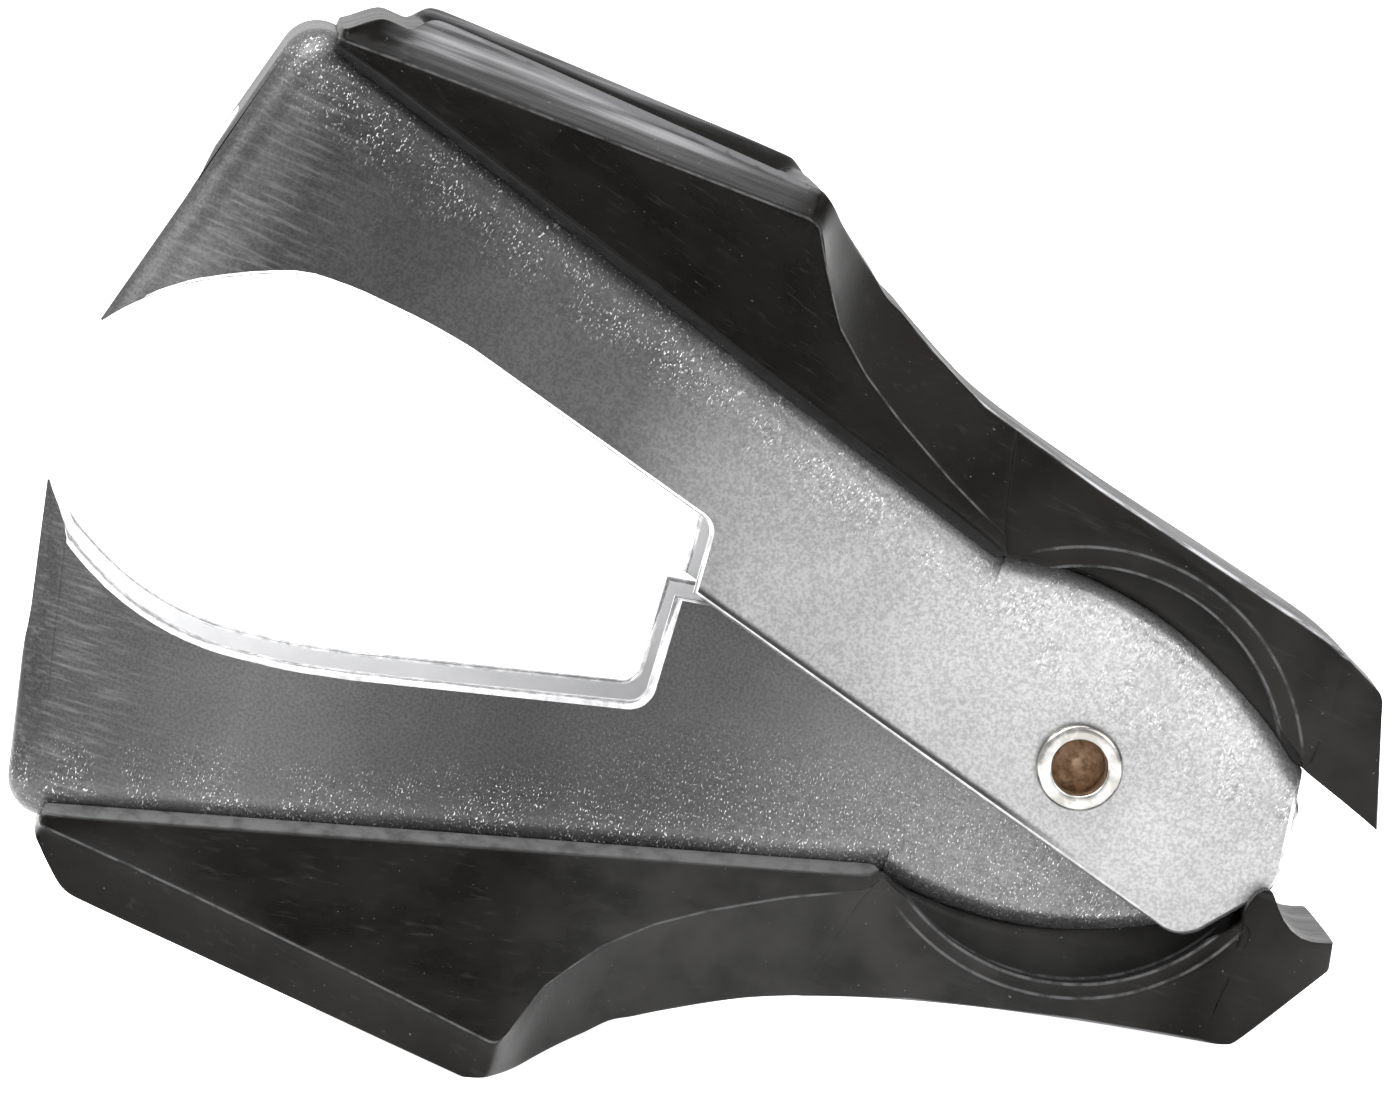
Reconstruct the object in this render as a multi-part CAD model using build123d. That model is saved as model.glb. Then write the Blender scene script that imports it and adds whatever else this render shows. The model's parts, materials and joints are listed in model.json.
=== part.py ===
from build123d import *
import os
from math import cos, radians, sin, sqrt

# Jaw-style staple remover, millimetres. It stands on its lower grip with the jaws sprung open.
# Each jaw and grip is drawn in its jaw's own axes: x from the pivot to the fang tips, y across
# the tool, z outwards, away from the other jaw. The row frame has +Z up and the fangs toward -X.

# How the jaws stand
LOWER_TILT = 18.0  # lower fang line above the floor, degrees
JAW_OPENING = 7.4  # between the two fang lines at rest, degrees
PIVOT_HEIGHT = 11.6  # pivot above the floor

# Sheet steel jaws
SHEET = 0.9
OUTER_HALF_WIDTH = 7.05  # upper jaw, which straddles the lower one
INNER_HALF_WIDTH = 6.0
FANG_TIP = (44.88, 0.0)
TIP_FLAT = 0.3
FRONT_TOP = (42.1, 15.2)  # where the front wall's line meets the spine's
SPINE_REAR = (6.4, 7.05)
SPINE_BEND = 1.65
FRONT_BEND = 1.7
EAR_BEND = 1.1
EAR_BACK_FRONT = 6.95  # height of the ear's back where it meets the spine, then over the pivot
EAR_BACK_TOP = 7.0
ROOF_END = -6.0  # the spine's web stops here, behind the pivot
ARCH_TOP = 10.0
ARCH_RADIUS = 4.0
EAR_REACH = 9.65
OUTER_EAR_HEEL = (-6.95, -4.85)
INNER_EAR_HEEL = (-5.12, -4.32)  # stops against the upper jaw's spine when the jaws open
THROAT_FRONT = (18.05, 2.85)  # the step behind the mouth, which goes further on the inner jaw
OUTER_THROAT_END = (17.6, -0.1)
INNER_THROAT_END = (18.1, -1.8)

# Moulded grips
BORDER_SLOPE = 0.2298
BORDER_REAR = (6.5, 6.55)  # a grip's edge on the cheek, at its rear end
BORDER_IN = 0.7  # how far inside the jaw's width that edge lies, on the spine's bend
WING_HALF_WIDTH = 17.5
WING_FRONT = 40.4
WING_REAR = 20.2
RIDGE_FRONT = 14.75  # height of the wing's ridge at its front end
RIM_INSET = 1.0
HOOK_INSET = 0.8
RIM_WIDTH = 0.8
DISH_DROP = 0.9
DISH_FRONT = 37.4
DISH_DEEP = 33.9  # the dish has its full depth from here back
DISH_REAR = 21.2
WAIST_WALL = 1.3
TAIL_HALF_WIDTH = 8.35
TAIL_FRONT = 13.6
CUT_RADIUS = 8.9  # hollow in the tail's sides, round the pivot
CUT_INSIDE = 0.35  # how far inside the cheek's outer face that hollow goes
EAR_SWEEP = 9.95  # room inside the tail's sides for the other jaw's ears
EAR_ROOM = 0.2
RIB_COUNT = 4
RIB_PITCH = 1.1
RIB_SIZE = 0.35
RIB_HALF_LENGTH = 11.0
FIRST_RIB = 21.8

# Heights on each wing: the ridge's rear end, then the dish rim's front and rear ends
UPPER_WING = (16.3, 17.15, 17.55)
LOWER_WING = (17.25, 17.6, 19.1)

# x and rim height of the hook over the jaw's front corner
UPPER_HOOK = [(WING_FRONT, 15.2), (39.0, 16.4), (37.8, 16.5)]
LOWER_HOOK = [(WING_FRONT, 15.6), (39.3, 16.8), (38.4, 17.5)]

# x, ridge height, rim inset and rim height behind the pad, where the wing falls to the tail
UPPER_WAIST = [
    (18.9, 14.7, 0.8, 16.6), (17.0, 12.65, 0.8, 15.3), (15.1, 11.25, 0.6, 14.3), (13.0, 10.1, 0.4, 13.2),
    (9.5, 8.45, 0.3, 10.0), (6.6, 7.3, 0.2, 8.5),
]
LOWER_WAIST = [
    (18.9, 14.7, 0.8, 18.2), (17.0, 12.65, 0.8, 16.7), (15.1, 11.25, 0.6, 15.3), (13.0, 10.1, 0.4, 14.2),
    (9.5, 8.45, 0.3, 10.6), (6.6, 7.3, 0.2, 8.9),
]

# Side outline of each tail's top, from front to rear
UPPER_TAIL_TOP = [(TAIL_FRONT, 13.6), (9.9, 12.1), (4.0, 10.85), (-3.0, 9.7)]
LOWER_TAIL_TOP = [(TAIL_FRONT, 14.6), (9.9, 13.05), (4.0, 11.3), (-3.0, 10.05)]

# Side outlines of the tails' rear ends, from the heel down and back under to the ear
UPPER_TAIL_END = [(-9.4, 8.55), (-10.35, 7.8), (-12.45, 2.7), (-8.6, 3.75)]
LOWER_TAIL_END = [
    (-9.4, 9.25), (-12.4, 5.0), (-12.1, 3.85), (-10.9, 4.15), (-9.9, 3.6), (-9.15, 2.5), (-8.5, 2.6),
    (-8.2, 3.9),
]

# Pivot rivet and spring
SHANK_RADIUS = 1.5
RIVET_CLEARANCE = 0.05
RIM_RADIUS = 1.83
RIM_HEIGHT = 0.55
RECESS_RADIUS = 1.14
RECESS_DEPTH = 2.6
RECESS_CONE = 0.5
RIM_ROUNDING = 0.3
DOME_RADIUS = 2.3
DOME_HEIGHT = 0.9
WIRE = 0.9
COIL_RADIUS = 2.5
COIL_TURNS = 4
COIL_PITCH = 1.0
LEG_REACH = 13.0

# Derived values
BIG = 60.0
UPPER_TILT = LOWER_TILT + JAW_OPENING
SPINE_SLOPE = (FRONT_TOP[1] - SPINE_REAR[1]) / (FRONT_TOP[0] - SPINE_REAR[0])
FRONT_LEAN = (FANG_TIP[0] - FRONT_TOP[0]) / FRONT_TOP[1]


def side_plane(y):
    """A sketch plane at width y whose x and y are a jaw's x and z."""
    return Plane(origin=(0, y, 0), x_dir=(1, 0, 0), z_dir=(0, -1, 0))


def side_prism(outline, half_width):
    """Extrudes a closed side outline, points or a sketch, to both sides of the middle plane."""
    sketch = outline if isinstance(outline, Sketch) else Polygon(*outline, align=None)
    return extrude(side_plane(half_width) * sketch, amount=2 * half_width)


def spine_at(x):
    return SPINE_REAR[1] + SPINE_SLOPE * (x - SPINE_REAR[0])


def front_at(z):
    return FANG_TIP[0] - FRONT_LEAN * z


def border_at(x):
    return BORDER_REAR[1] + BORDER_SLOPE * (x - BORDER_REAR[0])


def edges_along(shape, half_width, low, high):
    """The edges at y = +-half_width whose middles lie between two x values, above z = 0."""
    found = []
    for edge in shape.edges():
        middle = edge.position_at(0.5)
        if abs(abs(middle.Y) - half_width) < 0.01 and low < middle.X < high and middle.Z > 0:
            if abs(edge.position_at(0).Y - edge.position_at(1).Y) < 0.01:
                found.append(edge)
    return found


def front_block(half_width, inset):
    """The solid that a jaw's spine and front wall wrap, drawn in by inset."""
    front_x = front_at(0) - inset * sqrt(1 + FRONT_LEAN**2)
    drop = inset * sqrt(1 + SPINE_SLOPE**2)
    rear_x = SPINE_REAR[0] - inset
    top_z = (spine_at(front_x) - drop) / (1 + SPINE_SLOPE * FRONT_LEAN)
    low = -8.0
    outline = [
        (front_x - FRONT_LEAN * low, low),
        (front_x - FRONT_LEAN * top_z, top_z),
        (rear_x, spine_at(rear_x) - drop),
        (rear_x, low),
    ]
    block = side_prism(outline, half_width - inset)
    uprights = edges_along(block, half_width - inset, 40.0, 47.0)
    block = fillet(uprights, FRONT_BEND - inset)
    roof = [f for f in block.faces() if f.normal_at().Z > 0.9][0]
    bent = [e for e in roof.edges() if e.position_at(0.5).X > rear_x + 0.1]
    return fillet(bent, SPINE_BEND - inset)


def ear_sketch(inset):
    """Side outline round the pivot: the ear's back, drawn in by inset, closed far below."""
    front_end = (SPINE_REAR[0], EAR_BACK_FRONT - inset)
    rear_end = (-8.5, 3.8 - 1.2 * inset)
    back = ThreePointArc(front_end, (-1.0, EAR_BACK_TOP - inset), rear_end)
    start, end = back @ 0, back @ 1
    rest = Polyline(end, (-14, 0), (-14, -BIG), (start.X, -BIG), start)
    return make_face(back + rest)


def ear_block(half_width, inset, bend):
    sketch = ear_sketch(inset)
    block = side_prism(Sketch() + sketch, half_width - inset)
    return fillet(edges_along(block, half_width - inset, -8.0, SPINE_REAR[0]), bend)


def jaw_envelope(half_width):
    """Everything inside a jaw's outer surface, which is also what its grip fits over."""
    return front_block(half_width, 0) + ear_block(half_width, 0, EAR_BEND)


def corners_near(face, points):
    """The corners of a flat face that lie at the given points."""
    return [v for v in face.vertices() if any(abs(v.X - x) + abs(v.Y - z) < 0.02 for x, z in points)]


def cheek_sketch(heel, throat_end):
    """Side outline of a jaw: fang, mouth, throat, ears, and open above."""
    mouth = Spline(
        (29.0, 5.1),
        (33.5, 5.75),
        (38.1, 4.85),
        (41.7, 2.9),
        (FANG_TIP[0] - TIP_FLAT, 0),
        tangents=[(1, 0.21), (0.6, -1)],
    )
    start = mouth @ 0
    end = mouth @ 1
    rim = Polyline(
        end, (48, 0), (48, 20), (-9.0, 20), (-9.0, 3.9), (-8.6, 3.7), (-EAR_REACH, -1.15), heel,
        throat_end, THROAT_FRONT, start,
    )
    face = make_face(mouth + rim)
    face = fillet(corners_near(face, [THROAT_FRONT]), 0.8)
    return fillet(corners_near(face, [heel, (-EAR_REACH, -1.15)]), 1.6)


def arch_cutter(half_width):
    """The opening between the two fangs, cut through the front wall."""
    face = Plane(origin=(36.5, 0, 0), x_dir=(0, 1, 0), z_dir=(1, 0, 0))
    height = ARCH_TOP + 12
    outline = RectangleRounded(2 * half_width, height, ARCH_RADIUS)
    return extrude(face * Pos(0, ARCH_TOP - height / 2) * outline, amount=12)


def jaw(half_width, heel, throat_end, hole_radius):
    """One jaw: a folded channel, cut to the cheek's outline, arched in front, drilled."""
    hollow = front_block(half_width, SHEET)
    front = front_block(half_width, 0) - hollow
    ears = ear_block(half_width, 0, EAR_BEND)
    core = side_prism(Sketch() + ear_sketch(SHEET), half_width - SHEET)
    rear_gap = Pos(ROOF_END - 10, 0, 0) * Box(20, 2 * (half_width - SHEET), 40)
    ears = ears - core - rear_gap
    body = front + (ears - hollow)
    body = body & side_prism(Sketch() + cheek_sketch(heel, throat_end), half_width + 1)
    body = body - arch_cutter(half_width - SHEET)
    return body - Rot(90, 0, 0) * Cylinder(hole_radius, 4 * half_width)


def wing_section(x, half_width, points):
    """A closed section of the wing at x, through half points (y, z), mirrored about y = 0."""
    plane = Plane(origin=(x, 0, 0), x_dir=(0, 1, 0), z_dir=(1, 0, 0))
    start = (half_width - BORDER_IN, border_at(x))
    half = [start] + points
    full = half + [(-y, z) for y, z in reversed(half)]
    return plane * make_face(Polyline(*full, close=True))


def under_at(x, z, half_width, ridge_rear):
    """Half width of the wing's flat underside at x and z."""
    rise = ridge_rear - border_at(WING_REAR)
    flare = (WING_HALF_WIDTH - half_width + BORDER_IN) / rise
    return half_width - BORDER_IN + flare * (z - border_at(x))


def line_at(x, start_x, start_z, end_z):
    """Height at x on a straight line that runs from start_x back to the wing's rear."""
    return start_z + (end_z - start_z) * (start_x - x) / (start_x - WING_REAR)


def wing(half_width, heights, hook, waist):
    """The flared finger pad, from the hook over the jaw's front corner to where the tail starts."""
    ridge_rear, rim_front, rim_rear = heights
    stations = []
    for x, rim_z in hook:
        ridge_z = line_at(x, WING_FRONT, RIDGE_FRONT, ridge_rear)
        stations.append((x, ridge_z, HOOK_INSET, rim_z, 0.0))
    dish = [(DISH_FRONT, DISH_DROP / 2), (DISH_DEEP, DISH_DROP), (DISH_REAR, DISH_DROP), (WING_REAR, 0.2)]
    for x, drop in dish:
        ridge_z = line_at(x, WING_FRONT, RIDGE_FRONT, ridge_rear)
        stations.append((x, ridge_z, RIM_INSET, line_at(x, DISH_FRONT, rim_front, rim_rear), drop))
    stations += [(x, ridge_z, inset, rim_z, 0.0) for x, ridge_z, inset, rim_z in waist]
    sections = []
    for x, ridge_z, inset, rim_z, drop in stations:
        ridge_y = under_at(x, ridge_z, half_width, ridge_rear)
        rim_y = ridge_y - inset
        dish_y = rim_y - RIM_WIDTH - drop
        points = [(ridge_y, ridge_z), (rim_y, rim_z), (dish_y, rim_z - drop)]
        sections.append(wing_section(x, half_width, points))
    return loft(sections, ruled=True)


def tail_plan(half_width):
    """Plan outline of the tail: it widens from the wing's waist to its full width."""
    waist = half_width + WAIST_WALL
    side = [(TAIL_FRONT, waist), (9.0, waist), (2.0, TAIL_HALF_WIDTH), (-13.0, TAIL_HALF_WIDTH)]
    outline = side + [(x, -y) for x, y in reversed(side)]
    return extrude(Polygon(*outline, align=None), amount=BIG)


def ring_cut(radius, inner_y, outer_y):
    """A disc about the pivot on both sides, between two widths."""
    disc = Rot(90, 0, 0) * Cylinder(radius, 2 * outer_y)
    return disc - Box(BIG, 2 * inner_y, BIG)


def tail(half_width, top_outline, end_outline):
    """The grip's rear: a cap over the jaw's ears, with a hollow round the pivot in each side."""
    top = Spline(*top_outline, end_outline[0])
    start, end = top @ 0, top @ 1
    rest = Polyline(
        end, *end_outline[1:], (-4.0, 3.0), (BORDER_REAR[0], 6.0), (BORDER_REAR[0], 7.3), (9.5, 8.4),
        (TAIL_FRONT, 10.2), start,
    )
    block = side_prism(Sketch() + make_face(top + rest), BIG)
    block = block & tail_plan(half_width)
    block = block - ring_cut(CUT_RADIUS, half_width - CUT_INSIDE, BIG)
    return block - ring_cut(EAR_SWEEP, half_width - CUT_INSIDE, OUTER_HALF_WIDTH + EAR_ROOM)


def rib(x, z, half_width):
    return Pos(x, 0, z) * Rot(90, 0, 0) * Cylinder(RIB_SIZE, 2 * half_width)


def grip(half_width, heights, hook, waist, tail_top, tail_end):
    """A moulded saddle: wing and tail, hollowed to fit the jaw, with ribs behind the dish."""
    body = wing(half_width, heights, hook, waist) + tail(half_width, tail_top, tail_end)
    for i in range(RIB_COUNT):
        x = FIRST_RIB + i * RIB_PITCH
        dish_z = line_at(x, DISH_FRONT, heights[1], heights[2]) - DISH_DROP
        body = body + rib(x, dish_z, RIB_HALF_LENGTH)
    return body - jaw_envelope(half_width)


def pivot_rivet():
    """Semi-tubular rivet along y: domed head behind, rolled rim and blind recess in front."""
    seat = OUTER_HALF_WIDTH + RIVET_CLEARANCE
    shank = along_y(Cylinder(SHANK_RADIUS, 2 * seat), 0)
    rim = Cylinder(RIM_RADIUS, RIM_HEIGHT)
    rim = along_y(fillet(rim.edges().group_by(Axis.Z)[-1], RIM_ROUNDING), -seat - RIM_HEIGHT / 2)
    ball = (DOME_RADIUS**2 + DOME_HEIGHT**2) / (2 * DOME_HEIGHT)
    dome = Pos(0, seat + DOME_HEIGHT - ball, 0) * Sphere(ball)
    dome = dome & (Pos(0, seat + DOME_HEIGHT / 2, 0) * Box(BIG, DOME_HEIGHT, BIG))
    front = -seat - RIM_HEIGHT
    straight = RECESS_DEPTH - RECESS_CONE
    recess = along_y(Cylinder(RECESS_RADIUS, straight), front + straight / 2)
    point = along_y(Cone(RECESS_RADIUS, 0.1, RECESS_CONE), front + straight + RECESS_CONE / 2, -1)
    return shank + rim + dome - recess - point


def along_y(shape, y, facing=1):
    """Turns a solid that stands along z to lie along y with its top toward -y, or +y if flipped."""
    return Pos(0, y, 0) * Rot(90 * facing, 0, 0) * shape


def polar(angle, radius, y):
    """A point at an angle above the -X direction, seen from the rivet's rim side."""
    return Vector(-radius * cos(radians(angle)), y, radius * sin(radians(angle)))


def leg_angles():
    """Where a leg ends and where it leaves the coil, measured from its jaw's fang line."""
    leg_z = spine_at(LEG_REACH) - SHEET * sqrt(1 + SPINE_SLOPE**2) - WIRE * 0.58
    reach = sqrt(LEG_REACH**2 + leg_z**2)
    end = Vector(LEG_REACH, leg_z).get_angle(Vector(1, 0))
    return reach, end, end + Vector(COIL_RADIUS, sqrt(reach**2 - COIL_RADIUS**2)).get_angle(Vector(1, 0))


def wire_between(a, b):
    """A straight piece of wire from a to b."""
    along = Plane(origin=a, z_dir=b - a)
    return extrude(along * Circle(WIRE / 2), amount=(b - a).length)


def torsion_spring():
    """Close-wound coil round the rivet with one leg under each jaw's spine."""
    reach, end, leave = leg_angles()
    first = UPPER_TILT + leave
    last = LOWER_TILT - leave + 360 * (COIL_TURNS + 1)
    length = COIL_PITCH * (last - first) / 360
    start_y, end_y = -length / 2, length / 2
    coil_path = Helix(pitch=COIL_PITCH, height=length, radius=COIL_RADIUS)
    section = Plane(origin=coil_path @ 0, z_dir=coil_path % 0) * Circle(WIRE / 2)
    coil = sweep(section, path=coil_path, is_frenet=True)
    # the helix climbs +z turning from +x to +y; stand it along y, starting at the first leg
    coil = Plane(origin=(0, start_y, 0), x_dir=polar(first, 1, 0), z_dir=(0, 1, 0)) * coil
    upper_start = polar(first, COIL_RADIUS, start_y)
    lower_start = polar(last, COIL_RADIUS, end_y)
    upper_leg = wire_between(upper_start, polar(UPPER_TILT + end, reach, start_y))
    lower_leg = wire_between(lower_start, polar(LOWER_TILT - end, reach, end_y))
    elbows = [Pos(coil_end) * Sphere(WIRE / 2) for coil_end in (upper_start, lower_start)]
    return coil + upper_leg + lower_leg + elbows


def on_upper(shape):
    """Places a shape from the upper jaw's axes."""
    c, s = cos(radians(UPPER_TILT)), sin(radians(UPPER_TILT))
    return Plane(origin=(0, 0, 0), x_dir=(-c, 0, s), z_dir=(s, 0, c)) * shape


def on_lower(shape):
    """Places a shape from the lower jaw's axes."""
    c, s = cos(radians(LOWER_TILT)), sin(radians(LOWER_TILT))
    return Plane(origin=(0, 0, 0), x_dir=(-c, 0, s), z_dir=(-s, 0, -c)) * shape


def below_floor():
    """Everything under the floor, which trims small flats on the lower grip's feet."""
    return Pos(0, 0, -PIVOT_HEIGHT - BIG / 2) * Box(2 * BIG, 2 * BIG, BIG)


def main():
    upper_hole = SHANK_RADIUS + RIVET_CLEARANCE
    upper_jaw = jaw(OUTER_HALF_WIDTH, OUTER_EAR_HEEL, OUTER_THROAT_END, upper_hole)
    lower_jaw = jaw(INNER_HALF_WIDTH, INNER_EAR_HEEL, INNER_THROAT_END, SHANK_RADIUS)
    upper_grip = grip(OUTER_HALF_WIDTH, UPPER_WING, UPPER_HOOK, UPPER_WAIST, UPPER_TAIL_TOP, UPPER_TAIL_END)
    lower_grip = grip(INNER_HALF_WIDTH, LOWER_WING, LOWER_HOOK, LOWER_WAIST, LOWER_TAIL_TOP, LOWER_TAIL_END)
    nodes = {
        "upper_jaw": on_upper(upper_jaw),
        "lower_jaw": on_lower(lower_jaw),
        "upper_grip": on_upper(upper_grip),
        "lower_grip": on_lower(lower_grip) - below_floor(),
        "pivot_rivet": pivot_rivet(),
        "torsion_spring": torsion_spring(),
    }
    box = Compound([shape.solid() for shape in nodes.values()]).bounding_box()
    middle_x = (box.min.X + box.max.X) / 2
    lift = Location((-middle_x, 0, -box.min.Z))
    os.makedirs("parts", exist_ok=True)
    for name, shape in nodes.items():
        placed = shape.moved(lift)
        placed.label = name
        export_step(placed, f"parts/{name}.step")
    print(f"pivot at x {-middle_x:.3f}, y 0, z {-box.min.Z:.3f}")
    print(f"overall {box.size.X:.2f} x {box.size.Y:.2f} x {box.size.Z:.2f}")


main()
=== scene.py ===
"""Looks of the jaw-style staple remover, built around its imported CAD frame.

Shapes are worked out in millimetres in each jaw's own axes, as in the CAD source: x from the
pivot to the fang tips, y across the tool, z outwards, away from the other jaw.
"""

import json
from math import atan2, cos, pi, radians, sin, sqrt

import bmesh
import bpy
from mathutils import Matrix, Vector

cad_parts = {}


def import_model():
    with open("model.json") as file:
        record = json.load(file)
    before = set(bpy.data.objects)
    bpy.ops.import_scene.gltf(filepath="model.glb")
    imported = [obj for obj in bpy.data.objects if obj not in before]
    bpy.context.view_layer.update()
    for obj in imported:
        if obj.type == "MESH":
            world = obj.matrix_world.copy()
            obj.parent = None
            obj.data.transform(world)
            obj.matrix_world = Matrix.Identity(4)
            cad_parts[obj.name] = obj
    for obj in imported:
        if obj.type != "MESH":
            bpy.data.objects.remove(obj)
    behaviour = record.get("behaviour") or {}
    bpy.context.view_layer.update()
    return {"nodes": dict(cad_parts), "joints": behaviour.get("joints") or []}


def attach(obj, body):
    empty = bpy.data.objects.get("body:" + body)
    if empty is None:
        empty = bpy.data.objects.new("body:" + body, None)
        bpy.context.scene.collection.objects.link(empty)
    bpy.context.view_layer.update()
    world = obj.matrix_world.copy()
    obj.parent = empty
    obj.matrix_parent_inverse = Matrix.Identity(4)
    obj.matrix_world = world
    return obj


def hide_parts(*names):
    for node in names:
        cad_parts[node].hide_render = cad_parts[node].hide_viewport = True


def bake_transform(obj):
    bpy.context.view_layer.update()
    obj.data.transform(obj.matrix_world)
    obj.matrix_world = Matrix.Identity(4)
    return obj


MM = 0.001

# How the jaws stand
LOWER_TILT = 18.0
UPPER_TILT = 25.4

# Jaws
SHEET = 0.9
UPPER_HALF_WIDTH = 7.05
LOWER_HALF_WIDTH = 6.0
SPINE_REAR = (6.4, 7.05)
SPINE_SLOPE = 0.2283
SPINE_BEND = 1.65
FANG_X = 44.88
FRONT_LEAN = 0.183
EDGE_ROUND = 0.16  # rounding of the sheet's cut edges
LIP_ROUND = 0.34  # the coined edge round the lower jaw's mouth
TIP_TAPER = 4.5  # the rounding dies out over this length towards a fang's tip
WELD = 0.002
CREASE_ANGLE = 42  # edges sharper than this are kept crisp
THROAT_X = 17.2
EAR_EDGE_SLOPE = 0.1935  # the upper cheek's lower edge, from the throat back to the ear's heel
EAR_EDGE_DROP = 3.505
BORDER_SLOPE = 0.2298  # the line along which a grip ends on the cheek
BORDER_HEIGHT = 5.06
MOUTH_TOP = 7.2
ARCH_TOP = 10.0

# How far outwards each mouth's outline lies from the CAD's: x, lift
TIP_START = 43.0
UPPER_LIFTS = [
    (45.5, 0.0), (43.5, 0.0), (41.5, 0.2), (38.1, 0.25), (36.0, -0.05), (33.5, -0.3), (31.0, -0.2),
    (28.9, 0.0),
]
LOWER_LIFTS = [
    (45.5, 1.3), (44.5, 1.3), (43.0, 1.12), (41.0, 1.03), (38.1, 0.6), (36.0, 0.25), (33.5, -0.1),
    (31.0, -0.15), (28.9, 0.0),
]

# Grips
GAP = 0.02  # between a grip and the jaw that it fits over
BORDER_ANGLE = 34  # where a grip's edge lies on the spine's bend, above the cheek
LIP_THICKNESS = 0.42
BORDER_DROP = 0.52  # the grip's edge below the spine's line, and inside the jaw's width
BORDER_IN = 0.45
EAR_TOP = 7.36  # the ears' back is a parabola with this top
EAR_TOP_X = 2.7
EAR_FALL = 0.0284
EAR_BEND = 1.1
CUT_INSIDE = 0.35  # how far inside the cheek's outer face the hollow goes
HOLLOW_RADIUS = 9.3
UPPER_HOLLOW = (8.4, 0.8)  # inner radius and width of the flange round each hollow
LOWER_HOLLOW = (8.9, 0.6)
FLANGE_STEP = 0.16
EAR_SWEEP = 9.95
POCKET_HALF_WIDTH = 7.25
TAIL_HALF_WIDTH = 8.35
WAIST_WALL = 1.3
WAIST_ROUND = 0.7
WING_HALF_WIDTH = 17.5
WING_MARGIN = 0.1  # how far the underside stays inside that width
WING_REAR = 20.3
WING_START = 40.7
WAIST_END = 6.8
CROWN = 0.18  # the middle of a flat top stands this much above its edges
EDGE_SUPPORT = 0.16
CRISP_POINTS = (5, 6, 8, 11, 14, 15, 16)  # points of a half section that lie on crisp edges
TAIL_STEPS = 44
RIB_COUNT = 4
RIB_PITCH = 0.95
FIRST_RIB = 20.9
RIB_HEIGHT = 0.42

# Rivet and spring
RIVET_SEAT = 7.1
SHANK_RADIUS = 1.5
RIM_RADIUS = 1.83
RIM_HEIGHT = 0.55
RIM_ROLL = 0.28
RECESS_RADIUS = 1.14
RECESS_ROLL = 0.16
RECESS_DEPTH = 2.6
DOME_RADIUS = 2.3
DOME_HEIGHT = 0.9
WIRE_RADIUS = 0.45
COIL_RADIUS = 2.5
COIL_PITCH = 1.0
COIL_TURNS = 4
LEG_REACH = 13.0

# Camera, as it stands to the photographed object
CAMERA_DISTANCE = 600.0
CAMERA_AZIMUTH = -1.8
CAMERA_ELEVATION = 4.0
CAMERA_ROLL = -0.722
CAMERA_AIM = (0.41, 0.0, 20.48)
CAMERA_LENS = 368.57

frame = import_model()
PIVOT = Vector(frame["joints"][0]["pos_m"])


# ---------------------------------------------------------------- axes and meshes


def jaw_matrix(tilt, upper):
    """From a jaw's axes in millimetres to the row frame in metres."""
    angle = radians(tilt)
    side = 1 if upper else -1
    x_axis = Vector((-cos(angle), 0, sin(angle)))
    y_axis = Vector((0, 1, 0))
    z_axis = Vector((side * sin(angle), 0, side * cos(angle)))
    matrix = Matrix((x_axis, y_axis, z_axis)).transposed().to_4x4()
    return Matrix.Translation(PIVOT) @ matrix @ Matrix.Scale(MM, 4)


UPPER = jaw_matrix(UPPER_TILT, True)
LOWER = jaw_matrix(LOWER_TILT, False)
ROW = Matrix.Translation(PIVOT) @ Matrix.Scale(MM, 4)


def new_object(name, bm, matrix, materials):
    """A smooth-shaded object from a bmesh in millimetres, with its normals outwards."""
    bmesh.ops.transform(bm, matrix=matrix, verts=bm.verts)
    bmesh.ops.recalc_face_normals(bm, faces=bm.faces)
    mesh = bpy.data.meshes.new(name)
    bm.to_mesh(mesh)
    bm.free()
    for material in materials:
        mesh.materials.append(material)
    mesh.polygons.foreach_set("use_smooth", [True] * len(mesh.polygons))
    obj = bpy.data.objects.new(name, mesh)
    bpy.context.scene.collection.objects.link(obj)
    return obj


def spine_at(x):
    return SPINE_REAR[1] + SPINE_SLOPE * (x - SPINE_REAR[0])


def lerp(a, b, t):
    return a + (b - a) * t


def smooth(t):
    t = min(1.0, max(0.0, t))
    return t * t * (3 - 2 * t)


def along(rows, x):
    """Smooth interpolation of the rows (x, value, ...) at x, for rows with falling or rising x."""
    rows = sorted(rows)
    if x <= rows[0][0]:
        return rows[0][1:]
    if x >= rows[-1][0]:
        return rows[-1][1:]
    i = max(k for k in range(len(rows) - 1) if rows[k][0] <= x)
    a, b = rows[i], rows[i + 1]
    before = rows[i - 1] if i > 0 else a
    after = rows[i + 2] if i + 2 < len(rows) else b
    span = b[0] - a[0]
    t = (x - a[0]) / span
    values = []
    for k in range(1, len(a)):
        start = monotone_slope(before, a, b, k) * span
        end = monotone_slope(a, b, after, k) * span
        h = (2 * t**3 - 3 * t**2 + 1, t**3 - 2 * t**2 + t, 3 * t**2 - 2 * t**3, t**3 - t**2)
        values.append(h[0] * a[k] + h[1] * start + h[2] * b[k] + h[3] * end)
    return tuple(values)


def monotone_slope(before, here, after, k):
    """The slope at a row that neither overshoots nor kinks."""
    left = (here[k] - before[k]) / (here[0] - before[0]) if here is not before else None
    right = (after[k] - here[k]) / (after[0] - here[0]) if after is not here else None
    if left is None or right is None:
        return right if left is None else left
    if left * right <= 0:
        return 0.0
    return 2 * left * right / (left + right)


# ---------------------------------------------------------------- material nodes


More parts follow.
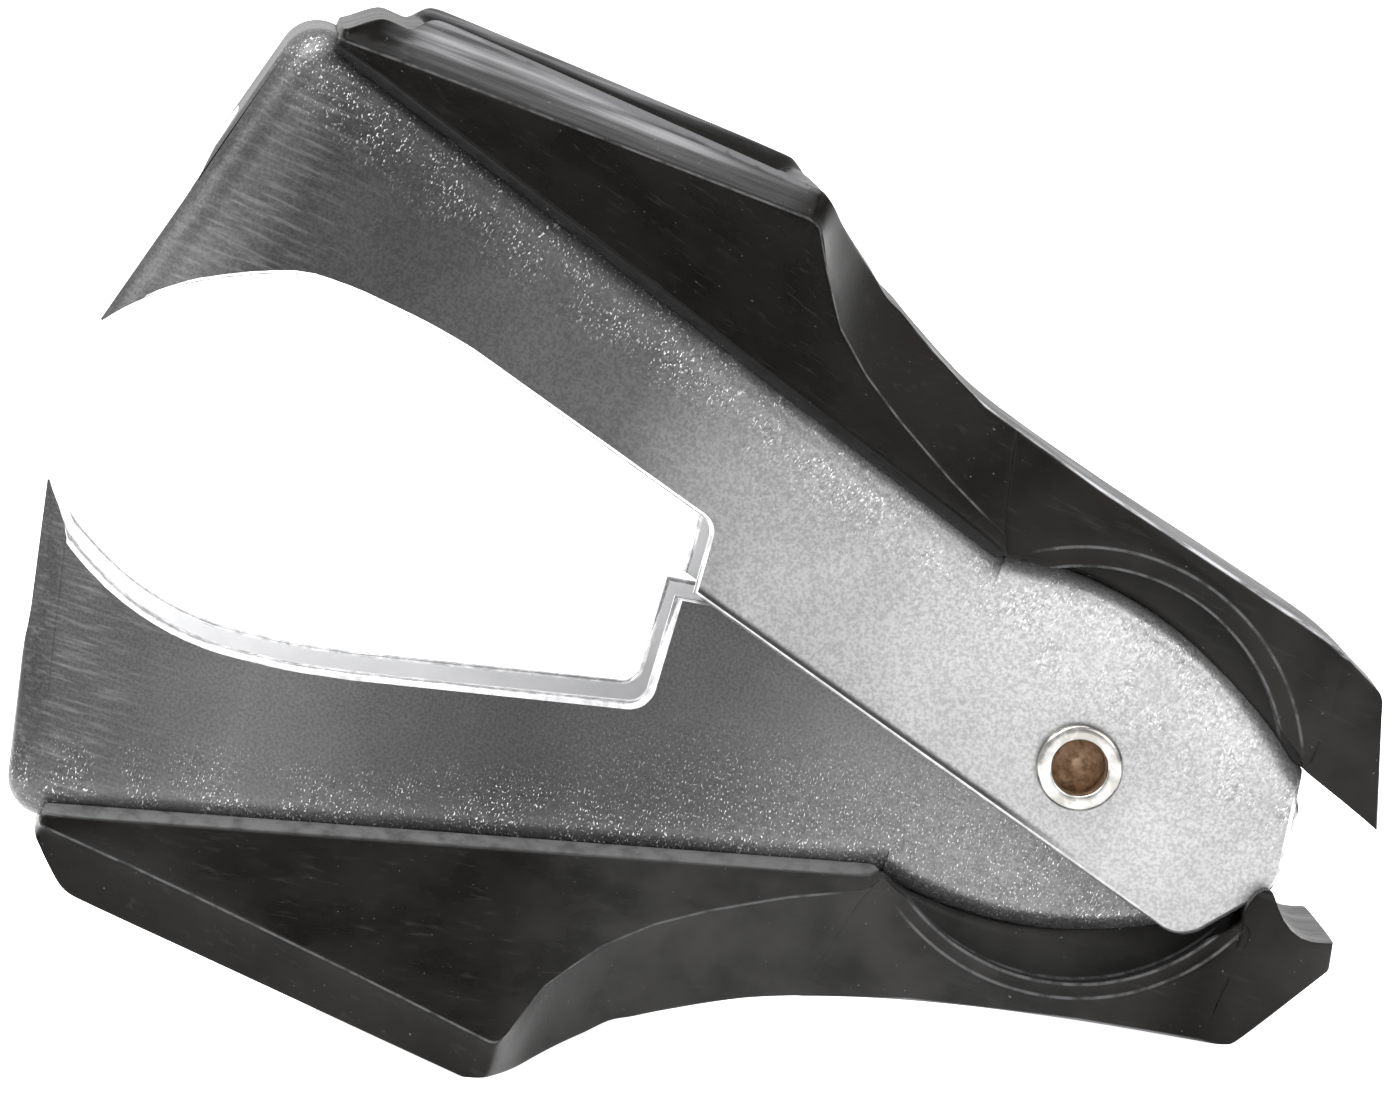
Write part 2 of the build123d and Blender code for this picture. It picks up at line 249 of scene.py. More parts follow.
def add_node(tree, kind, inputs=None, **settings):
    """Adds a node, sets its properties, then its inputs, where a socket makes a link."""
    node = tree.nodes.new(kind)
    for key, value in settings.items():
        setattr(node, key, value)
    for key, value in (inputs or {}).items():
        socket = node.inputs[key]
        if isinstance(value, bpy.types.NodeSocket):
            tree.links.new(value, socket)
        else:
            socket.default_value = value
    return node


def maths(tree, operation, a, b=0.0, c=0.0):
    return add_node(tree, "ShaderNodeMath", {0: a, 1: b, 2: c}, operation=operation).outputs[0]


def ramp(tree, value, stops):
    """A colour ramp of grey stops (position, grey) or colours."""
    node = add_node(tree, "ShaderNodeValToRGB", {0: value})
    elements = node.color_ramp.elements
    while len(elements) < len(stops):
        elements.new(0.5)
    for element, (position, colour) in zip(elements, stops):
        element.position = position
        element.color = (*colour, 1) if isinstance(colour, tuple) else (colour, colour, colour, 1)
    return node.outputs[0]


def spread(tree, value, low, high, to_low=0.0, to_high=1.0):
    """value from low..high to to_low..to_high, clamped, with soft ends."""
    inputs = {0: value, 1: low, 2: high, 3: to_low, 4: to_high}
    return add_node(tree, "ShaderNodeMapRange", inputs, interpolation_type="SMOOTHSTEP").outputs[0]


def spread_linear(tree, value, low, high):
    """value from low..high to 0..1, clamped, with no soft ends."""
    return add_node(tree, "ShaderNodeMapRange", {0: value, 1: low, 2: high}).outputs[0]


def window(tree, value, start, low, high, end):
    """1 between low and high, falling to 0 at start and end."""
    return product(tree, spread(tree, value, start, low), spread(tree, value, end, high))


def product(tree, *factors):
    result = factors[0]
    for factor in factors[1:]:
        result = maths(tree, "MULTIPLY", result, factor)
    return result


def grey(tone):
    return (tone, tone, tone, 1)


def mixed(tree, amount, a, b):
    inputs = {0: amount, 6: a, 7: b}
    return add_node(tree, "ShaderNodeMix", inputs, data_type="RGBA").outputs[2]


def grains(tree, vector, scale, detail=2.0, rough=0.5, distortion=0.0):
    """Noise about 0.5, with its features 1 / scale millimetres long."""
    inputs = {"Vector": vector, "Scale": scale, "Detail": detail}
    inputs |= {"Roughness": rough, "Distortion": distortion}
    return add_node(tree, "ShaderNodeTexNoise", inputs).outputs[0]


def scaled_grey(tree, colour, amount):
    """A colour made darker or lighter by noise about 0.5."""
    value = spread(tree, amount, 0.3, 0.7, 0.35, 1.65)
    return add_node(tree, "ShaderNodeHueSaturation", {"Color": colour, "Value": value}).outputs[0]


def stretched(tree, vector, scale):
    return add_node(tree, "ShaderNodeVectorMath", {0: vector, 1: scale}, operation="MULTIPLY").outputs[0]


def jaw_position(tree, matrix):
    """The shaded point in a jaw's axes, in millimetres: the whole vector, then x, y and z."""
    place = add_node(tree, "ShaderNodeTexCoord").outputs["Object"]
    offset = add_node(tree, "ShaderNodeVectorMath", {0: place, 1: matrix.translation}, operation="SUBTRACT")
    axes = [matrix.col[k].to_3d().normalized() / MM for k in range(3)]
    parts = []
    for axis in axes:
        inputs = {0: offset.outputs[0], 1: axis}
        dot = add_node(tree, "ShaderNodeVectorMath", inputs, operation="DOT_PRODUCT")
        parts.append(dot.outputs["Value"])
    whole = add_node(tree, "ShaderNodeCombineXYZ", {0: parts[0], 1: parts[1], 2: parts[2]}).outputs[0]
    return whole, parts[0], parts[1], parts[2]


def new_material(name):
    material = bpy.data.materials.new(name)
    material.use_nodes = True
    tree = material.node_tree
    return material, tree, tree.nodes["Principled BSDF"]


def wire_up(tree, shader, **sockets):
    for name, value in sockets.items():
        socket = shader.inputs[name.replace("_", " ")]
        if isinstance(value, bpy.types.NodeSocket):
            tree.links.new(value, socket)
        else:
            socket.default_value = value


def bump(tree, height, strength, distance, normal=None):
    inputs = {"Height": height, "Strength": strength, "Distance": distance}
    if normal is not None:
        inputs["Normal"] = normal
    return add_node(tree, "ShaderNodeBump", inputs).outputs[0]


def sparkle_band(tree, place, x, z, rear_sparkle):
    """Where the painted glints go: under the grip's border, thinning out towards the mouth."""
    depth = maths(tree, "SUBTRACT", maths(tree, "MULTIPLY_ADD", x, BORDER_SLOPE, BORDER_HEIGHT), z)
    patches = grains(tree, place, 0.55, 3.0, 0.6)
    band = product(tree, spread(tree, depth, 3.9, 1.1), spread(tree, patches, 0.34, 0.62))
    rear = product(tree, spread(tree, x, 24.0, 12.0, 0.0, rear_sparkle), spread(tree, depth, 7.0, 2.0))
    return maths(tree, "MAXIMUM", band, rear), depth


def mottled(tree, place, tone, band):
    """The tone with fine mottling in the sparkling band and finer grit all over."""
    fine = grains(tree, place, 3.4, 2.0, 0.6)
    grit = grains(tree, place, 8.0, 1.0, 0.5)
    mottle = product(tree, spread(tree, fine, 0.3, 0.7, -0.22, 0.22), band)
    mottle = maths(tree, "ADD", mottle, spread(tree, grit, 0.3, 0.7, -0.16, 0.16))
    inputs = {"Color": tone, "Value": maths(tree, "ADD", mottle, 1.0)}
    return add_node(tree, "ShaderNodeHueSaturation", inputs).outputs[0]


def front_streaks(tree, place, x):
    """Brushed streaks across the jaw's front corner."""
    streaks = grains(tree, stretched(tree, place, (0.5, 2.5, 6.0)), 1.0, 3.0, 0.6)
    return product(tree, spread(tree, x, 35.0, 42.0, 0.0, 0.22), spread(tree, streaks, 0.45, 0.75))


def painted_edge_shade(tree, x, z, edge_shade):
    """Painted shade beside the cut edge that crosses the other jaw's cheek: a dark line for the shadow
    between the sheets.
    """
    over_edge = maths(tree, "ADD", maths(tree, "MULTIPLY_ADD", x, -EAR_EDGE_SLOPE, EAR_EDGE_DROP), z)
    shaded = product(tree, spread(tree, over_edge, 0.5, 0.26), spread(tree, x, -3.0, 3.0, 0.0, edge_shade))
    return product(tree, shaded, spread(tree, x, 18.0, 17.5))


def steel(name, matrix, painted_light_tones, rear_sparkle, edge_shade):
    """Zinc-plated sheet: painted light and shade as a grey ramp along the jaw, cloudy tone, painted glints
    in bands along the bends, painted shade beside a cut edge, fine grain.
    """
    material, tree, shader = new_material(name)
    place, x, _, z = jaw_position(tree, matrix)
    # painted light and shade: a grey ramp along the jaw
    tone = ramp(tree, spread_linear(tree, x, -12.0, 46.0), painted_light_tones)
    clouds = grains(tree, place, 0.16, 3.0, 0.55)
    tone = mixed(tree, 0.22, tone, scaled_grey(tree, tone, clouds))
    band, depth = sparkle_band(tree, place, x, z, rear_sparkle)
    specks = grains(tree, stretched(tree, place, (1.5, 1.0, 0.8)), 9.0, 1.0, 0.5)
    # painted glints: pale specks in the band along the bend
    painted_glint = product(tree, spread(tree, specks, 0.6, 0.75), band)
    colour = mixed(tree, painted_glint, mottled(tree, place, tone, band), (0.7, 0.7, 0.72, 1))
    colour = mixed(tree, front_streaks(tree, place, x), colour, (0.34, 0.34, 0.35, 1))
    # painted shade: a dark line beside the cut edge
    colour = mixed(tree, painted_edge_shade(tree, x, z, edge_shade), colour, (0.012, 0.012, 0.013, 1))
    rough = maths(tree, "ADD", spread(tree, clouds, 0.3, 0.7, 0.3, 0.42), product(tree, painted_glint, -0.12))
    normal = bump(tree, grains(tree, place, 4.2, 2.0, 0.55), 0.12, 0.00004)
    normal = bump(tree, specks, maths(tree, "MULTIPLY_ADD", band, 0.4, 0.05), 0.00005, normal)
    metal = spread(tree, depth, 0.9, 2.2, 0.65, 1.0)
    wire_up(tree, shader, Base_Color=colour, Metallic=metal, Roughness=rough, Normal=normal)
    return material


def cut_edge(name, matrix):
    """The sheet's burnished cut edge: smoother, and brighter, with a painted highlight along its rounded
    edge, and fine lines along it.
    """
    material, tree, shader = new_material(name)
    place, x, _, z = jaw_position(tree, matrix)
    lines = grains(tree, stretched(tree, place, (0.6, 9.0, 0.6)), 1.0, 2.0, 0.5)
    nicks = grains(tree, place, 2.2, 3.0, 0.6)
    # partly painted highlight: burnished steel painted near-white along the rounded edge
    colour = mixed(tree, spread(tree, nicks, 0.35, 0.7), (0.55, 0.55, 0.56, 1), (0.95, 0.95, 0.96, 1))
    on_ear = product(tree, spread(tree, x, 17.4, 17.0, 0.0, 0.7), spread(tree, z, 0.8, 0.2))
    colour = mixed(tree, on_ear, colour, (0.2, 0.2, 0.2, 1))
    rough = spread(tree, lines, 0.3, 0.7, 0.16, 0.34)
    normal = bump(tree, lines, 0.2, 0.00004)
    wire_up(tree, shader, Base_Color=colour, Metallic=0.7, Roughness=rough, Normal=normal)
    return material


def painted_light_inner_steel(name):
    """Zinc plate inside the jaws, painted near-white as painted light on these shaded faces, with faint
    clouds and grain.
    """
    material, tree, shader = new_material(name)
    place = jaw_position(tree, ROW)[0]
    clouds = grains(tree, place, 0.3, 3.0, 0.55)
    # painted light: near-white colour on the shaded inner faces
    colour = mixed(tree, spread(tree, clouds, 0.3, 0.7), (0.88, 0.88, 0.89, 1), (0.97, 0.97, 0.98, 1))
    normal = bump(tree, grains(tree, place, 4.2, 2.0, 0.55), 0.12, 0.00004)
    rough = spread(tree, clouds, 0.3, 0.7, 0.3, 0.42)
    wire_up(tree, shader, Base_Color=colour, Metallic=0.25, Roughness=rough, Normal=normal)
    return material


def height_over(tree, x, z, rows):
    """How far a point lies above a line of (x, z, ...) rows, in millimetres."""
    low, high, full = -13.0, 41.0, 20.0
    stops = [((row[0] - low) / (high - low), row[1] / full) for row in sorted(rows)]
    line = ramp(tree, spread_linear(tree, x, low, high), stops)
    return maths(tree, "SUBTRACT", z, maths(tree, "MULTIPLY", line, full))


def rim_width_rows(rows, half_width):
    """The (x, y) line of the pad's rim, outwards from the middle of the grip."""
    ridge_rear = max(row[1] for row in rows)
    line = []
    for x, ridge_z, inset, *_ in rows:
        if x > 20:
            line.append((x, under_width(x, ridge_z, half_width, ridge_rear) - inset))
    return line


def line_mask(tree, offset, half_width):
    """1 on a thin line where offset is 0, fading out at half_width."""
    return spread(tree, maths(tree, "ABSOLUTE", offset), half_width, 0.3 * half_width)


def painted_lip_highlight(tree, x, across, z, patches, half_width):
    """The lip on the steel, with a painted highlight in patches."""
    lip_line = [(lip_x, spine_at(lip_x) - 0.62) for lip_x in (0.0, 41.0)]
    over_lip = height_over(tree, x, z, lip_line)
    on_lip = product(tree, spread(tree, over_lip, 0.5, 0.34), spread(tree, x, 6.2, 6.6))
    near = spread(tree, across, half_width + 0.75, half_width + 0.45)
    return product(tree, on_lip, near, spread(tree, patches, 0.25, 0.6, 0.5, 1.0))


def painted_side_sheen(tree, x, over_ridge, out_from_rim, amount):
    """Painted sheen in long strokes on the wing's side, between ridge and rim."""
    side = product(tree, spread(tree, over_ridge, 0.05, 0.2), window(tree, x, 20.2, 21.5, 36.5, 39.4))
    side = product(tree, side, spread(tree, out_from_rim, -0.9, -0.4))
    middle = product(tree, spread(tree, x, 22.0, 27.0), spread(tree, over_ridge, 0.3, 1.1))
    along_rim = add_node(tree, "ShaderNodeCombineXYZ", {0: x, 1: out_from_rim, 2: over_ridge}).outputs[0]
    strokes = grains(tree, stretched(tree, along_rim, (0.08, 1.2, 2.6)), 1.0, 3.0, 0.55)
    shine = spread(tree, strokes, 0.34, 0.68, 0.12, 1.0)
    return product(tree, shine, maths(tree, "MULTIPLY_ADD", middle, 0.6, 0.2), side, amount)


def painted_edge_highlights(tree, x, z, over_ridge, out_from_rim, patches, looks):
    """Painted highlights along edges, in patches: the ridge, the pad's rim and the rings round the tail's
    hollow.
    """
    ridge = product(tree, line_mask(tree, over_ridge, 0.07), spread(tree, x, 7.5, 9.0))
    rim = product(tree, line_mask(tree, out_from_rim, 0.12), spread(tree, over_ridge, 0.3, 0.6))
    rim = product(tree, rim, window(tree, x, 19.9, 20.6, 38.6, 39.6), looks["rim_shine"])
    radius = maths(tree, "SQRT", maths(tree, "MULTIPLY_ADD", x, x, product(tree, z, z)))
    rings = 0.0
    for ring_radius in looks["rings"]:
        ring = line_mask(tree, maths(tree, "SUBTRACT", radius, ring_radius), 0.09)
        rings = maths(tree, "MAXIMUM", ring, rings)
    rings = product(tree, rings, spread(tree, x, 5.8, 4.8), spread(tree, z, 4.2, 5.2))
    lines = maths(tree, "MAXIMUM", maths(tree, "MAXIMUM", ridge, rim), rings)
    return product(tree, lines, spread(tree, patches, 0.3, 0.62, 0.12, 0.75))


def painted_top_highlight(tree, x, across, z, scuffs, looks):
    """Painted highlights along the edges of the tail's top, broken up by the scuff pattern."""
    on_top = spread(tree, height_over(tree, x, z, looks["top"]), -0.12, -0.02)
    on_top = product(tree, on_top, window(tree, x, -9.5, -6.0, 11.0, 14.5), spread(tree, across, 7.2, 8.2))
    return product(tree, on_top, spread(tree, scuffs, 0.4, 0.6, 0.25, looks["top_shine"]))


def plastic(name, matrix, looks):
    """Near-black moulded plastic, semi-gloss: painted light and shade along the tool, scuffs along the
    tool, dust, and painted highlights on the lip, the wing's side, the edges and the tail's top.
    """
    material, tree, shader = new_material(name)
    place, x, y, z = jaw_position(tree, matrix)
    across = maths(tree, "ABSOLUTE", y)
    clouds = grains(tree, place, 0.25, 3.0, 0.6)
    scuffs = grains(tree, stretched(tree, place, (0.35, 2.6, 3.2)), 1.0, 4.0, 0.65, 0.4)
    scuffed = spread(tree, scuffs, 0.56, 0.74)
    patches = grains(tree, place, 1.2, 3.0, 0.6)
    # painted light and shade: a grey ramp along the grip
    tone = ramp(tree, spread_linear(tree, x, -13.0, 41.0), looks["painted_light_tones"])
    tone = mixed(tree, 0.15, tone, (0.014, 0.0105, 0.007, 1))
    colour = mixed(tree, 0.5, tone, scaled_grey(tree, tone, clouds))
    colour = mixed(tree, product(tree, scuffed, 0.3), colour, grey(0.03))
    # painted highlight along the grip's lip
    lip_highlight = painted_lip_highlight(tree, x, across, z, patches, looks["half_width"])
    colour = mixed(tree, lip_highlight, colour, grey(looks["lip"]))
    over_ridge = height_over(tree, x, z, looks["wing"])
    out_from_rim = height_over(tree, x, across, rim_width_rows(looks["wing"], looks["half_width"]))
    # painted sheen on the wing's side
    shine = painted_side_sheen(tree, x, over_ridge, out_from_rim, looks["side"])
    colour = mixed(tree, shine, colour, (0.3, 0.3, 0.31, 1))
    # painted highlights along the ridge, rim and rings
    pale = painted_edge_highlights(tree, x, z, over_ridge, out_from_rim, patches, looks)
    colour = mixed(tree, pale, colour, (0.085, 0.085, 0.088, 1))
    # painted highlight along the tail top's edges
    colour = mixed(tree, painted_top_highlight(tree, x, across, z, scuffs, looks), colour, (0.45, 0.45, 0.47, 1))
    dust = spread(tree, grains(tree, place, 5.5, 1.0, 0.5), 0.77, 0.8, 0.0, 0.3)
    colour = mixed(tree, dust, colour, (0.2, 0.2, 0.19, 1))
    rough = maths(tree, "ADD", spread(tree, clouds, 0.3, 0.7, 0.24, 0.34), product(tree, scuffed, 0.14))
    normal = bump(tree, grains(tree, place, 1.6, 2.0, 0.5), 0.1, 0.00004)
    normal = bump(tree, scuffs, 0.1, 0.00003, normal)
    wire_up(tree, shader, Base_Color=colour, Roughness=rough, Normal=normal, IOR=1.16)
    return material


def nickel(name):
    """Bright nickel plate with faint turning marks round the rivet's axis."""
    material, tree, shader = new_material(name)
    place = jaw_position(tree, ROW)[0]
    off_axis = stretched(tree, place, (1, 0, 1))
    radius = add_node(tree, "ShaderNodeVectorMath", {0: off_axis}, operation="LENGTH").outputs["Value"]
    rings = grains(tree, add_node(tree, "ShaderNodeCombineXYZ", {0: radius}).outputs[0], 9.0)
    blotches = grains(tree, place, 1.4, 3.0, 0.6)
    colour = mixed(tree, spread(tree, blotches, 0.35, 0.7), (0.26, 0.25, 0.235, 1), (0.5, 0.49, 0.475, 1))
    rough = spread(tree, blotches, 0.3, 0.7, 0.14, 0.26)
    normal = bump(tree, rings, 0.15, 0.00003)
    wire_up(tree, shader, Base_Color=colour, Metallic=1.0, Roughness=rough, Normal=normal)
    return material


def recess_brown(name):
    """The brown inside of the rivet's recess, in blotches."""
    material, tree, shader = new_material(name)
    place = jaw_position(tree, ROW)[0]
    blotches = grains(tree, place, 1.8, 4.0, 0.65)
    colour = mixed(tree, spread(tree, blotches, 0.3, 0.7), (0.15, 0.1, 0.06, 1), (0.5, 0.36, 0.25, 1))
    rough = spread(tree, blotches, 0.3, 0.7, 0.35, 0.55)
    normal = bump(tree, blotches, 0.3, 0.00006)
    wire_up(tree, shader, Base_Color=colour, Metallic=0.75, Roughness=rough, Normal=normal)
    return material


def spring_steel(name):
    """Drawn wire: grey, with fine drawing lines and a few darker stretches."""
    material, tree, shader = new_material(name)
    place = jaw_position(tree, ROW)[0]
    lines = grains(tree, stretched(tree, place, (0.8, 6.0, 0.8)), 2.0, 2.0, 0.5)
    blotches = grains(tree, place, 0.9, 3.0, 0.6)
    colour = mixed(tree, spread(tree, blotches, 0.3, 0.7), (0.32, 0.32, 0.33, 1), (0.62, 0.62, 0.64, 1))
    rough = spread(tree, lines, 0.3, 0.7, 0.2, 0.36)
    normal = bump(tree, lines, 0.2, 0.00003)
    wire_up(tree, shader, Base_Color=colour, Metallic=1.0, Roughness=rough, Normal=normal)
    return material


def floor_material():
    """Matt white ground that glows, so that it blends into the white background."""
    material, tree, shader = new_material("pale_floor")
    place = add_node(tree, "ShaderNodeTexCoord").outputs["Object"]
    mist = grains(tree, place, 6.0, 3.0, 0.5)
    colour = mixed(tree, mist, grey(0.9), grey(0.93))
    wire_up(tree, shader, Base_Color=colour, Roughness=0.9, Emission_Color=grey(1.0), Emission_Strength=1.0)
    return material


# ---------------------------------------------------------------- jaws


def is_cut_face(face, half_width):
    """True for a face across the sheet's thickness, round a cheek's outline or the front arch."""
    middle = face.calc_center_median()
    in_front = middle.x > FANG_X - FRONT_LEAN * middle.z - 1.4 * SHEET
    if in_front:
        on_arch = 5 < middle.z < ARCH_TOP + 0.1
        return on_arch and abs(face.normal.x) < 0.02 and abs(face.normal.y) < 0.97
    widths = [abs(v.co.y) for v in face.verts]
    below_spine = middle.z < spine_at(middle.x) - 1.2 * SPINE_BEND or middle.x < SPINE_REAR[0] - 1
    return abs(face.normal.y) < 0.05 and min(widths) > half_width - 1.05 * SHEET and below_spine


def is_inner_face(face, half_width):
    """True for a face on the inside of a cheek."""
    return abs(face.normal.y) > 0.9 and abs(face.calc_center_median().y) < half_width - 0.5 * SHEET


def edge_weight(edge, half_width, mouth_round):
    """How much of the largest rounding an edge of a cut face gets."""
    middle = (edge.verts[0].co + edge.verts[1].co) / 2
    at_step = abs(middle.x - SPINE_REAR[0]) < 1.2 and middle.z > 4.0
    at_ear_corner = middle.x < -8.2 and middle.z > 3.2
    if at_step or at_ear_corner:
        return 0.0
    weight = EDGE_ROUND / LIP_ROUND
    outside = abs(middle.y) > half_width - 0.3
    if mouth_round and outside and THROAT_X < middle.x and middle.z < MOUTH_TOP:
        weight = 1.0
    tip_distance = sqrt((middle.x - FANG_X) ** 2 + middle.z**2)
    return weight * max(0.06, smooth(tip_distance / TIP_TAPER))


def shape_mouth(bm, lifts):
    """Moves the mouth's outline outwards by (x, lift) rows, and the fang's tip up along its front."""
    for vert in bm.verts:
        x, z = vert.co.x, vert.co.z
        if x < lifts[-1][0] or z > MOUTH_TOP:
            continue
        lift = along(lifts, x)[0]
        in_tip = smooth((x - TIP_START) / 1.2)
        lift *= lerp(1.0, 1.0 - smooth(z / 5.0), in_tip)
        vert.co.z += lift
        vert.co.x -= FRONT_LEAN * lift * in_tip


def jaw(name, matrix, half_width, materials, mouth_round, lifts):
    """The CAD jaw's surface as clean faces, its cut edges rounded and burnished."""
    bm = bmesh.new()
    bm.from_mesh(frame["nodes"][name].data)
    bmesh.ops.transform(bm, matrix=matrix.inverted(), verts=bm.verts)
    bmesh.ops.remove_doubles(bm, verts=bm.verts, dist=WELD)
    bmesh.ops.dissolve_limit(bm, angle_limit=radians(0.6), verts=bm.verts, edges=bm.edges)
    bmesh.ops.recalc_face_normals(bm, faces=bm.faces)
    shape_mouth(bm, lifts)
    weight = bm.edges.layers.float.new("bevel_weight_edge")
    for face in bm.faces:
        if is_cut_face(face, half_width):
            face.material_index = 1
        elif is_inner_face(face, half_width):
            face.material_index = 2
        else:
            face.material_index = 0
    for edge in bm.edges:
        if edge.calc_face_angle() > radians(CREASE_ANGLE):
            edge.smooth = False
            if [f.material_index for f in edge.link_faces].count(1) == 1:
                edge[weight] = edge_weight(edge, half_width, mouth_round)
    obj = new_object(name + "_sheet", bm, matrix, materials)
    bevel = obj.modifiers.new("rounded_edges", "BEVEL")
    bevel.limit_method = "WEIGHT"
    bevel.width = LIP_ROUND * MM
    bevel.segments = 3
    bevel.use_clamp_overlap = False
    bevel.loop_slide = True
    bevel.material = 1
    obj.modifiers.new("even_shading", "WEIGHTED_NORMAL").keep_sharp = True
    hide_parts(name)
    return obj


# ---------------------------------------------------------------- grips

# Along the wing, from the hook over the jaw's front corner to the tail:
# x, ridge z, rim inset, rim z, dish drop, underside hollow
UPPER_WING = [
    (40.5, 14.75, 0.5, 15.15, 0.0, 0.0),
    (39.9, 14.8, 0.6, 15.75, 0.0, 0.0),
    (39.1, 14.87, 0.7, 16.3, 0.0, 0.0),
    (37.9, 14.98, 0.9, 16.3, 0.0, 0.0),
    (37.55, 15.0, 1.0, 17.0, 0.3, 0.0),
    (36.9, 15.07, 1.0, 17.2, 0.8, 0.0),
    (33.4, 15.35, 1.0, 17.3, 0.9, 0.05),
    (26.2, 15.87, 1.0, 17.45, 0.9, 0.45),
    (21.0, 16.25, 1.0, 17.55, 0.9, 0.6),
    (20.3, 16.3, 1.0, 17.55, 0.5, 0.6),
    (19.8, 16.2, 1.0, 17.35, 0.1, 0.5),
    (18.7, 14.7, 0.9, 16.5, 0.0, 0.35),
    (17.0, 12.65, 0.8, 15.4, 0.0, 0.2),
    (15.1, 11.25, 0.6, 14.3, 0.0, 0.1),
    (13.0, 10.1, 0.4, 13.3, 0.0, 0.0),
    (10.0, 8.7, 0.3, 12.1, 0.0, 0.0),
    (6.8, 7.45, 0.3, 11.4, 0.0, 0.0),
]
LOWER_WING = [
    (40.6, 14.95, 0.3, 15.45, 0.0, 0.0),
    (40.0, 15.05, 0.5, 16.2, 0.0, 0.0),
    (38.6, 15.2, 0.8, 17.4, 0.0, 0.0),
    (37.6, 15.3, 0.9, 17.55, 0.4, 0.0),
    (36.4, 15.4, 1.0, 17.68, 0.8, 0.0),
    (33.4, 15.7, 1.0, 17.95, 0.9, 0.05),
    (26.2, 16.5, 1.0, 18.6, 0.9, 0.45),
    (21.0, 17.15, 1.0, 19.05, 0.9, 0.6),
    (20.4, 17.22, 1.0, 19.1, 0.7, 0.6),
    (20.0, 17.0, 1.0, 19.08, 0.4, 0.5),
    (19.5, 15.9, 1.0, 18.8, 0.0, 0.45),
    (18.9, 14.7, 0.9, 18.25, 0.0, 0.35),
    (17.0, 12.65, 0.8, 16.7, 0.0, 0.2),
    (15.1, 11.25, 0.6, 15.4, 0.0, 0.1),
    (13.0, 10.1, 0.4, 14.4, 0.0, 0.0),
    (10.0, 8.7, 0.3, 13.1, 0.0, 0.0),
    (6.8, 7.45, 0.3, 12.0, 0.0, 0.0),
]

# Round the tail's end: bottom x, z and top x, z
UPPER_END = [
    (-8.35, 3.85, -8.1, 8.8),
    (-8.9, 3.7, -8.9, 8.45),
    (-10.3, 3.35, -9.85, 8.1),
    (-11.6, 3.0, -10.1, 7.97),
    (-12.25, 2.8, -10.3, 7.7),
    (-12.4, 2.76, -10.36, 7.55),
]
LOWER_END = [
    (-8.2, 3.9, -8.2, 9.35),
    (-8.5, 2.62, -8.9, 9.3),
    (-9.1, 2.45, -9.33, 9.24),
    (-9.25, 2.6, -9.48, 9.15),
    (-9.9, 3.6, -10.0, 8.4),
    (-10.9, 4.15, -11.2, 6.7),
    (-11.8, 3.95, -12.1, 5.4),
    (-12.2, 3.83, -12.4, 4.98),
    (-12.27, 3.8, -12.45, 4.88),
]


def ear_top(x):
    """Height of the ears' back at x."""
    return EAR_TOP - EAR_FALL * (x - EAR_TOP_X) ** 2


def on_bend(x, half_width, angle, lift=0.0):
    """A point on the jaw's spine bend at an angle above the cheek, lifted off the steel."""
    reach = SPINE_BEND + lift
    y = half_width - SPINE_BEND + reach * cos(radians(angle))
    return Vector((x, y, spine_at(x) - SPINE_BEND + reach * sin(radians(angle))))


def under_width(x, z, half_width, ridge_rear):
    """Half width of the wing's flat underside at x and z."""
    border_y = half_width - BORDER_IN
    flare = (WING_HALF_WIDTH - WING_MARGIN - border_y) / (ridge_rear - spine_at(WING_REAR) + BORDER_DROP)
    return border_y + flare * (z - spine_at(x) + BORDER_DROP)


def tail_width(x, half_width):
    """Half width of the tail, which widens from the wing's waist."""
    waist = half_width + WAIST_WALL
    return lerp(waist, TAIL_HALF_WIDTH, smooth((9.0 - x) / 7.0))


def soft_max(a, b):
    """The larger of two widths, rounded off where they cross."""
    return (a + b + sqrt((a - b) ** 2 + WAIST_ROUND**2)) / 2


def rib_height(x):
    """How far the nearest rib stands up from the dish's floor at x."""
    height = 0.0
    for i in range(RIB_COUNT):
        offset = abs(x - FIRST_RIB - i * RIB_PITCH) / (0.42 * RIB_PITCH)
        height = max(height, RIB_HEIGHT * sqrt(max(0.0, 1 - offset**2)))
    return height


